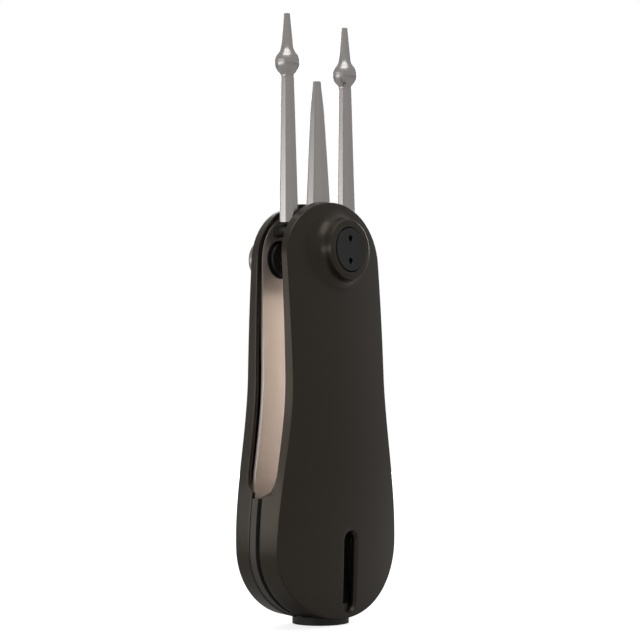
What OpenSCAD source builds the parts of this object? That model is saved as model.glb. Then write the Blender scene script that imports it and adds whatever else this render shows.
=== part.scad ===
// Folding divot repair tool: three steel prongs swing out of a two-shell handle that also
// carries a button lock, a magnetic ball marker and a small pencil sharpener.
// The handle stands upright: X is its width, +Y its front (marker side) and Z its length.

/* [Handle] */
// Length of the handle from its foot to the top of its head
handle_len = 79.2; // [66:0.1:96]
// Width of the straight upper part of the handle
head_w = 27.1; // [25:0.1:32.6]
// Width of the wide foot
foot_w = 35; // [32:0.1:42]
// Height of the rounded foot below its widest level
foot_h = 14; // [12:0.1:17]
// Height of the rounded head above the straight sides
head_h = 11.1; // [9:0.1:13]
// Level at which the straight sides start to flare towards the foot
flare_top = 46.5; // [40:0.1:50]

/* [Shells] */
// Half thickness of the handle at its thickest point
half_t = 6.95; // [6.8:0.05:8.5]
// Level of the thickest point
belly_z = 30; // [25:0.5:40]
// How far the back face falls from its middle to the sides of the foot
crown_drop = 2.16; // [1.2:0.02:2.4]
// How far the front face falls from its middle to the sides of the foot
front_crown_drop = 0.9; // [0.6:0.02:2.4]
// How far the face falls from its thickest point to the top of the head
head_drop = 2.42; // [1.4:0.02:2.8]
// Wall of the shells at their sides
side_wall = 0.9; // [0.8:0.05:2]
// Wall of the shells at their faces
face_wall = 1.25; // [1:0.05:1.3]
// Where the back shell's rim ends, behind the middle plane
back_rim = 0.45; // [0.3:0.05:0.8]
// Where the front shell's rim ends, before the middle plane
front_rim = 2.0; // [1.8:0.05:2.2]

/* [Side opening] */
// Half height of the side opening at its tallest point
opening_half = 3.65; // [3.4:0.05:3.9]
// How far the opening narrows from its tallest point to the top of the head
opening_drop = 1.4; // [0.8:0.02:1.5]
// Level of the rounded lower end of the side opening
opening_z = 24; // [23.8:0.1:26]

/* [Liners and core] */
// Clearance between the balls of the folded prongs and the back liner
ball_play = 0.1; // [0.06:0.02:0.3]
// Thickness of each liner plate
liner_t = 0.65; // [0.5:0.05:0.7]
// Clearance between the liner plates and the shell walls
liner_play = 0.2; // [0.15:0.05:0.5]
// Level of the top of the core
core_z = 23.5; // [22:0.1:23.6]
// Thickness of the bead that shows between the shells
bead_t = 1.4; // [1:0.05:1.4]

/* [Pivot] */
// Distance from the top of the head down to the pivot
pivot_drop = 9.4; // [8.6:0.1:10.5]
// Radius of the pivot axle
axle_r = 1.6; // [1.3:0.02:1.92]
// Running clearance between the axle and its bush
axle_play = 0.05; // [0.03:0.01:0.08]
// Wall of the pivot bush
bush_wall = 0.65; // [0.5:0.05:0.8]
// Thickness of each thrust washer
washer_t = 0.3; // [0.2:0.05:0.3]
// Clearance on each side of a thrust washer
washer_play = 0.05; // [0.03:0.01:0.08]
// Radius of the two-hole pivot cap
cap_r = 4.05; // [3.6:0.05:4.4]
// Radius of the boss around the pivot cap
boss_r = 5.7; // [5.4:0.05:6.2]
// Level of the top of the boss behind the middle plane
boss_t = 8.3; // [7.6:0.05:8.6]
// How far the pivot cap stands out of its boss
cap_proud = 0.1; // [0.05:0.05:0.9]
// Distance between the two key holes of the cap
key_pitch = 4.2; // [3.6:0.1:4.6]
// Radius of a key hole
key_r = 0.55; // [0.4:0.05:0.7]

/* [Prongs] */
// How far the prongs lie behind the middle plane
prong_shift = 0.24; // [0:0.02:0.3]
// Distance between neighbouring prongs
prong_pitch = 8.34; // [7.6:0.02:8.4]
// Space between the tips of the folded prongs and the core
tip_gap = 2.1; // [1.5:0.1:8]
// How much shorter the middle prong is than the outer prongs
middle_drop = 11.6; // [8:0.1:14]
// Radius of an outer prong at its root
outer_r = 1.72; // [1.5:0.02:1.8]
// Radius of an outer prong under its ball
neck_r = 1.2; // [1:0.02:1.3]
// Radius of the ball on an outer prong
ball_r = 2.36; // [2:0.02:2.84]
// Distance from an outer tip down to the middle of its ball
ball_drop = 9.4; // [8:0.1:10.5]
// Radius of the flat end of an outer prong
outer_tip_r = 0.52; // [0.4:0.02:0.7]
// Radius of the middle prong at its root
middle_r = 2.25; // [2:0.02:2.3]
// Longest stretch over which the root of the middle prong tapers
middle_root_len = 13.4; // [8:0.1:20]
// Radius of the flat end of the middle prong
middle_tip_r = 0.72; // [0.5:0.02:0.9]

/* [Carrier] */
// Radius of the carrier plate
plate_r = 7.5; // [7:0.05:7.6]
// Thickness of the carrier plate
plate_t = 1; // [0.8:0.05:1.1]
// Level of the underside of the carrier bar above the pivot
bar_z = 5; // [4.9:0.05:5.3]
// Height of the carrier bar
bar_h = 1.6; // [1.2:0.05:2]
// Radius of the tenon at the root of a prong
tenon_r = 0.9; // [0.7:0.05:1.1]
// Depth of the tenon in the carrier bar
tenon_h = 1.2; // [0.8:0.05:1.2]
// Wire of the torsion spring
coil_wire = 0.6; // [0.4:0.05:0.6]
// Turns of the torsion spring
coil_turns = 3; // [2:1:4]
// Radius of the stop post
post_r = 1.2; // [1:0.05:1.2]
// Distance from the pivot up to the middle of the stop post
post_z = 3.6; // [3.2:0.05:3.6]

/* [Button] */
// Distance from the handle's middle to the button
button_x = 7.5; // [7.3:0.05:7.8]
// Distance from the pivot down to the button
button_drop = 1.7; // [1.4:0.05:1.9]
// Radius of the button
button_r = 4; // [3.3:0.05:4.8]
// Clearance between the button and the shell
button_play = 0.1; // [0.06:0.01:0.15]
// Wall between the bore of the button and the seat of the axle's head
button_web = 0.49; // [0.4:0.01:0.8]
// Clearance around the axle's head
axle_head_play = 0.1; // [0.05:0.01:0.2]
// How far the button's top stands before the middle plane
button_top = 7.7; // [7.2:0.05:8.2]
// Travel of the button
button_travel = 1.2; // [0.8:0.05:1.2]
// Radius of the stem of the lock plunger
stem_r = 1.6; // [1.4:0.05:1.8]
// Radius of the nose of the lock plunger
nose_r = 3; // [2.6:0.05:3]
// Length of the nose of the lock plunger
nose_t = 0.75; // [0.5:0.05:2.05]
// Radius of the plunger bush
guide_r = 3.6; // [3.3:0.05:3.7]
// Wire of the button spring
button_wire = 0.4; // [0.3:0.05:0.45]

/* [Ball marker] */
// Radius of the ball marker
marker_r = 12.1; // [11:0.1:12.2]
// Thickness of the ball marker
marker_t = 1.3; // [1:0.05:1.4]
// Level of the middle of the ball marker
marker_z = 17; // [16.8:0.1:18]
// Clearance around the ball marker
marker_play = 0.25; // [0.15:0.05:0.4]
// How far the seat of the marker lies before the middle plane
seat_t = 5.65; // [5.6:0.05:5.7]
// Radius of the marker magnet
magnet_r = 4; // [3:0.1:4.5]
// Thickness of the marker magnet
magnet_t = 1.4; // [1:0.05:1.5]

/* [Sharpener] */
// Radius of the pencil bore
pencil_r = 3.9; // [3.6:0.05:4]
// Length of the straight part of the pencil bore inside the handle
pencil_lead = 3; // [2.5:0.1:4]
// Length of the cone
cone_len = 16; // [14:0.1:16.5]
// Radius of the nose that stands out of the foot
mouth_r = 5.4; // [5:0.05:5.4]
// How far the nose stands out of the foot
mouth_proud = 0.8; // [0.6:0.05:1.6]
// Half width of the sharpener block
block_half = 5.6; // [5:0.05:5.7]
// Thickness of the blade
blade_t = 0.7; // [0.5:0.05:0.8]
// Length of the blade
blade_len = 14; // [12:0.1:15]
// Width of the blade
blade_w = 5; // [4.5:0.05:5.2]
// Middle of the chip slot, to the right of the handle's middle
slot_x = 1.3; // [1:0.05:1.8]
// Width of the chip slot
slot_w = 3.3; // [2.8:0.05:3.6]
// Length of the chip slot
slot_len = 15.4; // [13:0.1:15.6]
// Width of the chamfer around the chip slot
slot_rim = 0.45; // [0.3:0.05:0.6]

/* [Fasteners] */
// Radius of the assembly screws
screw_r = 1.1; // [0.9:0.05:1.2]
// Radius of the heads of the assembly screws
screw_head_r = 2; // [1.7:0.05:2.1]
// Distance of the assembly screws from the middle of the handle
screw_x = 8.6; // [8.4:0.05:8.8]
// Level of the assembly screws
screw_z = 13; // [12.6:0.1:13.6]

/* [Hidden] */
EPS = 0.01;
FINE = 96;
ROUND = 48;
pivot_z = handle_len - pivot_drop;
head_z = handle_len - head_h;
button_z = pivot_z - button_drop;
crown_r = pow(foot_w / 2, 2) / (2 * crown_drop);
front_crown_r = pow(foot_w / 2, 2) / (2 * front_crown_drop);
length_r = pow(handle_len - belly_z, 2) / (2 * head_drop);
opening_z_top = flare_top - 6.5;
opening_r = pow(handle_len - opening_z_top, 2) / (2 * opening_drop);
liner_gap = ball_r + prong_shift + ball_play;
outer_reach = pivot_z - core_z - tip_gap;
middle_reach = outer_reach - middle_drop;
axle_head_r = norm([button_x, button_drop]) - button_r - button_play - button_web - axle_head_play;
liner_out = liner_gap + liner_t;
hub_half = liner_gap - washer_t - 2 * washer_play;
bush_r = axle_r + axle_play + bush_wall;
bar_back = min(hub_half, opening_half - opening_drop - 0.1);
hub_r = bush_r + 0.9;
coil_r = hub_r + 0.15 + coil_wire / 2;
bead_back = -(front_rim - 0.05 - bead_t);
cone_slope = atan((pencil_r - 0.45) / cone_len);

// Half width of the handle at level z, drawn in by d all round
function flare(u) = u * u * (3 - 2 * u);
function side_half(z, d) = (z >= flare_top ? head_w / 2
    : head_w / 2 + (foot_w - head_w) / 2 * flare((flare_top - z) / (flare_top - foot_h))) - d;

// One side of the outline, from the middle of the foot up to the middle of the head
function half_outline(d) = concat(
    [for (i = [0:20]) let (a = i * 4.5) [(foot_w / 2 - d) * sin(a), foot_h - (foot_h - d) * cos(a)]],
    [for (i = [1:14]) let (z = foot_h + (flare_top - foot_h) * i / 14) [side_half(z, d), z]],
    [for (i = [0:18]) let (a = i * 5) [(head_w / 2 - d) * cos(a), head_z + (head_h - d) * sin(a)]]);
function mirrored(p) = [for (i = [len(p) - 2:-1:1]) [-p[i][0], p[i][1]]];
function outline_points(d) = let (h = half_outline(d)) concat(h, mirrored(h));

// Everything is drawn lying down, with the back of the handle upwards, and then stood up
module stand() rotate([90, 0, 0]) children();
module slab(low, high) translate([0, 0, low]) linear_extrude(high - low) children();
module outline(d = 0) polygon(outline_points(d));
module rod(x, z, r, low, high) translate([x, z, low]) cylinder(r = r, h = high - low, $fn = FINE);
module ring(x, z, r, bore, low, high) difference() {
    rod(x, z, r, low, high);
    rod(x, z, bore, low - 1, high + 1);
}

// Solid under a crowned face, whose highest point is at level top
module under_face(top, crown = crown_r) translate([0, belly_z, top - length_r]) rotate([0, -90, 0]) rotate([0, 0, -8])
    rotate_extrude(angle = 16, $fn = 720) intersection() {
        translate([length_r - crown, 0]) circle(r = crown, $fn = 720);
        translate([length_r - 22, -22]) square([30, 44]);
    }

// Side view of the opening that the prongs swing through
function opening_at(z) = opening_half - pow(z - opening_z_top, 2) / (2 * opening_r);
opening_end = opening_at(opening_z);
opening_side = concat(
    [for (i = [0:10]) let (a = i * 9) [opening_z + opening_end * (1 - cos(a)), opening_end * sin(a)]],
    [for (i = [1:12]) let (z = opening_z + opening_end + (handle_len - opening_z) * i / 12) [z, opening_at(z)]]);
module side_opening() rotate([90, 0, 90]) translate([0, 0, -30]) linear_extrude(60) polygon(concat(
    opening_side, [for (i = [len(opening_side) - 1:-1:1]) [opening_side[i][0], -opening_side[i][1]]]));

// Half of the handle, hollow, from its rim to its crowned face
module hollow_half(rim, crown) difference() {
    intersection() {
        slab(rim, half_t + 2) outline();
        under_face(half_t, crown);
    }
    intersection() {
        slab(rim - 1, half_t + 2) outline(side_wall);
        under_face(half_t - face_wall, crown);
    }
    side_opening();
}

// Post that grows from a shell's face down to level low
module shell_post(x, z, r, low, crown) intersection() {
    rod(x, z, r, low, half_t);
    under_face(half_t - face_wall + EPS, crown);
}

module both_sides() for (side = [-1, 1]) translate([side * screw_x, screw_z]) children();

// Round nose of the sharpener, which passes through the foot
module mouth_rod(r, low, high) translate([0, low, 0]) rotate([-90, 0, 0]) cylinder(r = r, h = high - low, $fn = FINE);

slot_mid = 0.75 + slot_rim + slot_len / 2;

// Stadium of straight sides and true half-round ends, cut from level low upwards
module slot_cut(grow, low) {
    for (end = [-1, 1]) translate([slot_x, slot_mid + end * (slot_len - slot_w) / 2, low])
        cylinder(r = slot_w / 2 + grow, h = 12, $fn = ROUND);
    translate([slot_x - slot_w / 2 - grow, slot_mid - (slot_len - slot_w) / 2, low])
        cube([slot_w + 2 * grow, slot_len - slot_w, 12]);
}

module back_shell() color([0.17, 0.16, 0.145]) stand() difference() {
    union() {
        hollow_half(back_rim, crown_r);
        shell_post(0, pivot_z, boss_r - 0.6, liner_out, crown_r);
        both_sides() translate([0, 0, liner_out]) cylinder(r = 2.6, h = 2.1, $fn = ROUND);
        intersection() {
            rod(0, pivot_z, boss_r, liner_out, boss_t);
            slab(half_t - 4, boss_t) outline();
        }
    }
    rod(0, pivot_z, axle_r + axle_play, 0, 12);
    rod(0, pivot_z, cap_r + 0.1, boss_t - 1.1, 12);
    both_sides() translate([0, 0, liner_out - 1]) cylinder(r = 1.75, h = 2.8, $fn = ROUND);
    mouth_rod(mouth_r + 0.03, -3, 3.2);
    slot_cut(0, 1);
    translate([0, 0, half_t - 0.8]) slot_cut(slot_rim, 0);
}

module front_shell() color([0.17, 0.16, 0.145]) stand() mirror([0, 0, 1]) difference() {
    union() {
        hollow_half(front_rim, front_crown_r);
        shell_post(0, pivot_z, 4.2, liner_out, front_crown_r);
        both_sides() translate([0, 0, liner_out]) cylinder(r = 2.9, h = 2.2, $fn = ROUND);
        intersection() {
            rod(0, marker_z, marker_r + 1.2, seat_t - 0.85, seat_t + 1);
            under_face(half_t - face_wall + EPS, front_crown_r);
            slab(0, half_t) outline(side_wall - EPS);
        }
    }
    rod(0, marker_z, marker_r + marker_play, seat_t, 12);
    rod(0, marker_z, magnet_r, seat_t - magnet_t, 12);
    rod(0, pivot_z, axle_r + axle_play, 0, 12);
    rod(0, pivot_z, axle_head_r + axle_head_play, liner_out + 0.9, 12);
    rod(-button_x, button_z, button_r + button_play, liner_out, 12);
    both_sides() cylinder(r = screw_r + 0.1, h = 12, $fn = ROUND);
    both_sides() translate([0, 0, seat_t - 0.95]) cylinder(r = screw_head_r + 0.05, h = 3, $fn = ROUND);
    mouth_rod(mouth_r + 0.03, -3, 3.2);
}

// Liner plate with its edge trimmed to the crown; the front one also has a hole for the plunger bush
module liner_plate() difference() {
    intersection() {
        slab(liner_gap, liner_out) outline(side_wall + liner_play);
        under_face(half_t - face_wall - 0.05);
    }
    translate([-block_half - 0.3, -5, -9]) cube([2 * block_half + 0.6, core_z - 1.2 + 5, 18]);
    rod(0, pivot_z, axle_r + axle_play, -9, 9);
    both_sides() translate([0, 0, -9]) cylinder(r = screw_r + 0.1, h = 18, $fn = ROUND);
}
module back_liner() color([0.74, 0.7, 0.65]) stand() difference() {
    liner_plate();
    rod(-prong_pitch, pivot_z + post_z, post_r - 0.4, -9, 9);
}
module front_liner() color([0.74, 0.7, 0.65]) stand() mirror([0, 0, 1]) difference() {
    liner_plate();
    rod(-prong_pitch, pivot_z + post_z, post_r - 0.4, -9, 9);
    rod(-button_x, button_z, guide_r, -9, 9);
}

// Horseshoe between the liners, with the bead that shows between the shells
module core_spacer() color([0.45, 0.42, 0.38]) stand() difference() {
    intersection() {
        union() {
            slab(-liner_gap, liner_gap) outline(side_wall + liner_play);
            slab(-front_rim + 0.05, bead_back) outline(0.12);
        }
        translate([-30, -5, -9]) cube([60, core_z + 5, 18]);
    }
    translate([-block_half - 0.3, -5, -9]) cube([2 * block_half + 0.6, core_z - 1.2 + 5, 18]);
    both_sides() translate([0, 0, -9]) cylinder(r = screw_r + 0.1, h = 18, $fn = ROUND);
}

module pivot_axle() color([0.55, 0.53, 0.5]) stand() union() {
    rod(0, pivot_z, axle_r, -liner_out - 1, boss_t - 0.3);
    rod(0, pivot_z, axle_head_r, -liner_out - 1.9, -liner_out - 0.95);
}

// Round nut that a two-pin key turns; its shaft end is blind
module pivot_cap() color([0.16, 0.15, 0.14]) stand() difference() {
    union() {
        rod(0, pivot_z, cap_r, boss_t - 1.1, boss_t + cap_proud - 0.25);
        translate([0, pivot_z, boss_t + cap_proud - 0.25]) cylinder(r1 = cap_r, r2 = cap_r - 0.3, h = 0.25, $fn = FINE);
    }
    rod(0, pivot_z, axle_r, boss_t - 2, boss_t - 0.3);
    for (side = [-1, 1]) rod(0, pivot_z + side * key_pitch / 2, key_r, boss_t - 0.6, 12);
}

module back_washer() color([0.72, 0.6, 0.35]) stand()
    ring(0, pivot_z, hub_r + 1.6, axle_r + axle_play, liner_gap - washer_play - washer_t, liner_gap - washer_play);
module front_washer() color([0.72, 0.6, 0.35]) stand()
    ring(0, pivot_z, hub_r, axle_r + axle_play, -liner_gap + washer_play, -liner_gap + washer_play + washer_t);
module pivot_bush() color([0.72, 0.6, 0.35]) stand()
    ring(0, pivot_z, bush_r, axle_r + axle_play, -hub_half, hub_half);

// Plate, hub and bar that hold the prongs and turn on the pivot
module prong_carrier() color([0.62, 0.6, 0.57]) stand() difference() {
    union() {
        intersection() {
            rod(0, pivot_z, plate_r, hub_half - plate_t, hub_half);
            translate([-plate_r, pivot_z - plate_r, 0]) cube([2 * plate_r, plate_r + bar_z + bar_h, 9]);
        }
        rod(0, pivot_z, hub_r, -hub_half, hub_half);
        translate([-prong_pitch, pivot_z + bar_z, prong_shift - outer_r])
            cube([2 * prong_pitch, bar_h, outer_r - prong_shift + bar_back]);
        for (side = [-1, 0, 1]) translate([side * prong_pitch, pivot_z + bar_z, prong_shift]) rotate([-90, 0, 0])
            cylinder(r = side == 0 ? middle_r : outer_r, h = bar_h, $fn = ROUND);
    }
    rod(0, pivot_z, bush_r, -9, 9);
    for (side = [-1:1]) translate([side * prong_pitch, pivot_z + bar_z + bar_h - tenon_h, prong_shift])
        rotate([-90, 0, 0]) cylinder(r = tenon_r, h = 9, $fn = ROUND);
}

// Faceted bar turned about its own axis: a list of [height, radius] pairs and a tenon below it
module prong(x, stations) stand() translate([x, pivot_z + bar_z + bar_h, prong_shift]) rotate([-90, 0, 0]) union() {
    for (i = [0:len(stations) - 2]) translate([0, 0, stations[i][0]]) rotate([0, 0, 22.5])
        cylinder(r1 = stations[i][1], r2 = stations[i + 1][1], h = stations[i + 1][0] - stations[i][0], $fn = 8);
    translate([0, 0, -tenon_h]) cylinder(r = tenon_r, h = tenon_h + 0.5, $fn = ROUND);
}
outer_len = outer_reach - bar_z - bar_h;
ball_at = outer_len - ball_drop;
module outer_prong(x) {
    prong(x, [[0, outer_r], [ball_at - 1.9, neck_r], [ball_at + 3.1, neck_r - 0.03],
        [ball_at + 5.9, 0.78], [outer_len, outer_tip_r]]);
    stand() translate([x, pivot_z + bar_z + bar_h + ball_at, prong_shift]) sphere(r = ball_r, $fn = ROUND);
}
module left_prong() color([0.62, 0.6, 0.57]) outer_prong(-prong_pitch);
module right_prong() color([0.62, 0.6, 0.57]) outer_prong(prong_pitch);
middle_len = middle_reach - bar_z - bar_h;
module middle_prong() color([0.62, 0.6, 0.57]) prong(0, [[0, middle_r], [min(middle_root_len, middle_len - 12.6), 1.72],
    [middle_len - 5.5, 1.3], [middle_len - 1, middle_tip_r + 0.12], [middle_len, middle_tip_r]]);

// Tube of round wire wound about the pivot direction
module coil(x, z, r, wire, turns, low, high) {
    sides = 8;
    steps = 24 * turns;
    pitch = (high - low - wire) / turns;
    points = [for (i = [0:steps]) let (a = i * 15) for (k = [0:sides - 1]) let (b = k * 45)
        [x + (r + wire / 2 * cos(b)) * cos(a), z + (r + wire / 2 * cos(b)) * sin(a),
            low + wire / 2 + pitch * a / 360 + wire / 2 * sin(b)]];
    faces = concat([[for (k = [0:sides - 1]) k]],
        [for (i = [0:steps - 1]) for (k = [0:sides - 1]) let (n = (k + 1) % sides)
            [i * sides + k, (i + 1) * sides + k, (i + 1) * sides + n, i * sides + n]],
        [[for (k = [sides - 1:-1:0]) steps * sides + k]]);
    polyhedron(points, faces);
}
module torsion_spring() color([0.5, 0.5, 0.5]) stand()
    coil(0, pivot_z, coil_r, coil_wire, coil_turns, -hub_half + 0.05, hub_half - plate_t - 0.15);

module stop_post() color([0.08, 0.08, 0.08]) stand() intersection() {
    union() {
        rod(-prong_pitch, pivot_z + post_z, post_r, -liner_gap, liner_gap);
        rod(-prong_pitch, pivot_z + post_z, post_r - 0.4, 0.45 - liner_out, liner_out - 0.45);
    }
    under_face(half_t - face_wall - 0.05);
    mirror([0, 0, 1]) under_face(half_t - face_wall - 0.05);
}

// Cup that slides in the front shell, over the plunger's stem
module release_button() color([0.73, 0.71, 0.68]) stand() mirror([0, 0, 1]) difference() {
    union() {
        rod(-button_x, button_z, button_r, liner_out + button_travel + 0.2, button_top - 0.5);
        translate([-button_x, button_z, button_top - 0.5])
            cylinder(r1 = button_r, r2 = button_r - 0.5, h = 0.5, $fn = FINE);
    }
    rod(-button_x, button_z, button_r - 0.9, 0, button_top - 0.9 - button_travel);
    rod(-button_x, button_z, stem_r, 0, button_top - 0.7);
}
module lock_plunger() color([0.06, 0.06, 0.06]) stand() mirror([0, 0, 1]) union() {
    rod(-button_x, button_z, stem_r, liner_gap - 0.1, button_top - 0.7);
    rod(-button_x, button_z, nose_r, liner_gap - 0.05 - nose_t, liner_gap - 0.05);
}
module plunger_bush() color([0.06, 0.06, 0.06]) stand() intersection() {
    ring(-button_x, button_z, guide_r, stem_r + 0.05, -liner_out, -liner_gap);
    mirror([0, 0, 1]) under_face(half_t - face_wall - 0.05, front_crown_r);
}
module button_spring() color([0.6, 0.6, 0.6]) stand() mirror([0, 0, 1])
    coil(-button_x, button_z, stem_r + 0.3 + button_wire / 2, button_wire, 3, liner_out + 0.08,
        button_top - 0.92 - button_travel);

module ball_marker() color([0.6, 0.57, 0.52]) stand() mirror([0, 0, 1])
    rod(0, marker_z, marker_r, seat_t, seat_t + marker_t);
module marker_magnet() color([0.7, 0.7, 0.7]) stand() mirror([0, 0, 1])
    rod(0, marker_z, magnet_r, seat_t - magnet_t, seat_t);

// Places children on the blade's seat: x along the handle's width, y up the slope, z out of the seat
seat_drop = 0.35;
module on_seat() translate([0, pencil_lead + 0.4, pencil_r - seat_drop]) rotate([-cone_slope, 0, 0]) children();

module sharpener_body() color([0.12, 0.12, 0.12]) stand() difference() {
    union() {
        mouth_rod(mouth_r, -mouth_proud, 3.1);
        translate([-block_half, 3, -4.4]) cube([2 * block_half, 8.6, 8.7]);
        translate([-block_half, 3, -3.3]) cube([2 * block_half, cone_len + 1.5, 7.6]);
    }
    mouth_rod(pencil_r, -3, pencil_lead);
    translate([0, pencil_lead - EPS, 0]) rotate([-90, 0, 0])
        cylinder(r1 = pencil_r, r2 = 0.45, h = cone_len, $fn = FINE);
    on_seat() translate([-block_half - 1, -0.3, 0]) cube([2 * block_half + 2, 30, 9]);
    on_seat() translate([-blade_w / 2, 9, -2.5]) cylinder(r = 0.8, h = 9, $fn = ROUND);
}
module sharpener_blade() color([0.8, 0.8, 0.8]) stand() on_seat() difference() {
    translate([-blade_w, 0, 0]) cube([blade_w, blade_len, blade_t]);
    translate([-blade_w / 2, 9, -1]) cylinder(r = 0.85, h = 9, $fn = ROUND);
}
module blade_screw() color([0.7, 0.68, 0.6]) stand() on_seat() translate([-blade_w / 2, 9, 0]) difference() {
    union() {
        translate([0, 0, -2.4]) cylinder(r = 0.8, h = 2.4 + blade_t + EPS, $fn = ROUND);
        translate([0, 0, blade_t]) cylinder(r = 1.5, h = 0.8, $fn = ROUND);
    }
    translate([-2, -0.2, blade_t + 0.45]) cube([4, 0.4, 1]);
}

// Two flat-headed screws under the ball marker, with a slot in each head
module assembly_screws() color([0.6, 0.6, 0.6]) stand() both_sides() difference() {
    union() {
        translate([0, 0, -seat_t + 0.05]) cylinder(r = screw_head_r, h = 0.85, $fn = ROUND);
        translate([0, 0, -seat_t + 0.5]) cylinder(r = screw_r, h = seat_t - 0.5 + liner_out + 1.6, $fn = ROUND);
    }
    translate([-3, -0.25, -seat_t - 1]) cube([6, 0.5, 1.45]);
}
module thread_inserts() color([0.72, 0.6, 0.35]) stand() both_sides() difference() {
    translate([0, 0, liner_out]) cylinder(r = 1.75, h = 1.8, $fn = ROUND);
    translate([0, 0, 0]) cylinder(r = screw_r, h = 9, $fn = ROUND);
}

back_shell();
front_shell();
back_liner();
front_liner();
core_spacer();
pivot_axle();
pivot_cap();
back_washer();
front_washer();
pivot_bush();
prong_carrier();
left_prong();
middle_prong();
right_prong();
torsion_spring();
stop_post();
release_button();
lock_plunger();
plunger_bush();
button_spring();
ball_marker();
marker_magnet();
sharpener_body();
sharpener_blade();
blade_screw();
assembly_screws();
thread_inserts();
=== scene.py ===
"""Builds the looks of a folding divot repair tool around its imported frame.

All shapes are worked out in millimetres as (across, up, towards the back) and then stood up in the frame.
"""

import math

import bmesh
import bpy
import numpy as np
from bpy.props import FloatProperty, FloatVectorProperty, PointerProperty
from bpy.types import Operator, Panel, PropertyGroup
from mathutils import Euler, Matrix, Vector


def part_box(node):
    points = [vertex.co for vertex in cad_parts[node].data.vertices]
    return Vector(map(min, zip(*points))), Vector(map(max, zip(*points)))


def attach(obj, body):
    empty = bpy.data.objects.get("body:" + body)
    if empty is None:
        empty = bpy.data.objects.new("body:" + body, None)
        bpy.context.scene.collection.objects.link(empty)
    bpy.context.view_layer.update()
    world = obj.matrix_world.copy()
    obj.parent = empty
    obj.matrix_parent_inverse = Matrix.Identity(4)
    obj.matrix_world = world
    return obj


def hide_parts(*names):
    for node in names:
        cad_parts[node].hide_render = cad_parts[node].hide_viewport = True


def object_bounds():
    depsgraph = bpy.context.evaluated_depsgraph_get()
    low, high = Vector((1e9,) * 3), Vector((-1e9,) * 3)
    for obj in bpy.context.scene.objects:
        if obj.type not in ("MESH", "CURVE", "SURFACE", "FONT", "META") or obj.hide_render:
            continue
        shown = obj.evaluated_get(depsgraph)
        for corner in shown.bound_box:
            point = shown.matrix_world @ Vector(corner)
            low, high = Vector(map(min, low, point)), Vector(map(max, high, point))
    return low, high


bl_info = {
    "name": "Folding divot repair tool",
    "version": (1, 0, 0),
    "blender": (4, 5, 0),
    "location": "3D View > Sidebar > Divot Tool",
    "description": "Shells, prongs, lock, ball marker and sharpener of a folding divot repair tool",
    "category": "Object",
}

MM = 0.001
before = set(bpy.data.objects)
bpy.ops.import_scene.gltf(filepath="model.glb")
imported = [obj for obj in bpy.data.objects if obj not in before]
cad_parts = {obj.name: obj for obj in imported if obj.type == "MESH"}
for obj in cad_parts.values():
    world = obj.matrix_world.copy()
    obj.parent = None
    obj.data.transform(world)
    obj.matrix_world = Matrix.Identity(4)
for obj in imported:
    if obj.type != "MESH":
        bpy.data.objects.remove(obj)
CAD_BOX = [[float(v) for v in corner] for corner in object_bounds()]


def span(node):
    """Lowest and highest corner of a frame node in mm, as (across, up, towards the back)."""
    low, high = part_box(node)
    return (
        np.array([low.x, low.z, -high.y]) / MM,
        np.array([high.x, high.z, -low.y]) / MM,
    )


def middle(node):
    """Middle of a frame node in mm, as (across, up, towards the back)."""
    low, high = span(node)
    return (low + high) / 2


SHELL_HIGH = span("back_shell")[1]
HANDLE_LENGTH = SHELL_HIGH[1]
FOOT_HALF = SHELL_HIGH[0]
PIVOT = middle("pivot_cap")[:2]
BUTTON = middle("release_button")[:2]
MARKER = middle("ball_marker")[:2]
POST = middle("stop_post")[:2]
MARKER_RADIUS = (span("ball_marker")[1][0] - span("ball_marker")[0][0]) / 2
BOSS_TOP = SHELL_HIGH[2]
HEAD_HALF = 13.55
FOOT_HEIGHT = 14.0
HEAD_HEIGHT = 11.1
STRAIGHT_FROM = 46.5
HALF_THICKNESS = 6.95
BELLY = 30.0
BACK_CROWN = 70.9
FRONT_CROWN = 170.0
LENGTH_RADIUS = 500.0
SIDE_WALL = 0.9
FACE_WALL = 1.25
BACK_RIM = 0.45
FRONT_RIM = 2.0
OPENING_FROM = 24.0
OPENING_HALF = 3.65
OPENING_CURVE = 1098.0
OPENING_TALLEST = 40.0
LINER_OUT = 3.35
LINER_IN = 2.7
CUT_POINTS = 40
MERGE = 0.002 * MM
SOFTENED_SHARP = 30.0

SLOT_MIDDLE = np.array([1.3, 9.15])
SLOT_HALF_WIDTH = 1.65
SLOT_HALF_LENGTH = 7.45
SLOT_RIM = 0.45
SEAT_PLAY = 0.25
SEAT_LEVEL = 5.55
MAGNET_HOLE = 4.3
MAGNET_FLOOR = 4.2
BORE_RADIUS = 4.1

CAP_RADIUS = 4.05
CAP_SEAT = 4.15
CAP_DEPTH = 1.1
KEY_PITCH = 4.2
KEY_RADIUS = 0.55
KEY_DEPTH = 1.0
CAP_BEVEL = 0.32
CAP_POINTS = 128

BALL_DROP = 9.4
BALL_RADIUS = 2.36
ROOT_ABOVE_PIVOT = 5.02
SPRING_TURNS = 3
COIL_WIRE = 0.6
BUTTON_WIRE = 0.4

ROUGH_CHANGE = 0.08
LIGHT_AIM = (0, 0, 0.05)


class DivotToolSizes(PropertyGroup):
    """Sizes of the details that the frame leaves plain, in millimetres."""

    edge_round: FloatProperty(
        name="Edge round",
        description="Radius of the edge between a shell's face and side",
        default=0.3, min=0.15, max=1.0,
    )
    side_bulge: FloatProperty(
        name="Side bulge",
        description="How far a shell's side leans out towards its rim",
        default=0.35, min=0.0, max=0.8,
    )
    boss_foot: FloatProperty(
        name="Boss foot",
        description="Radius at which the boss meets the face",
        default=8.2, min=7.7, max=8.8,
    )
    corner_round: FloatProperty(
        name="Prong corner sharpness",
        description="Higher values give the prongs sharper corners",
        default=34.0, min=8.0, max=80.0,
    )


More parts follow.
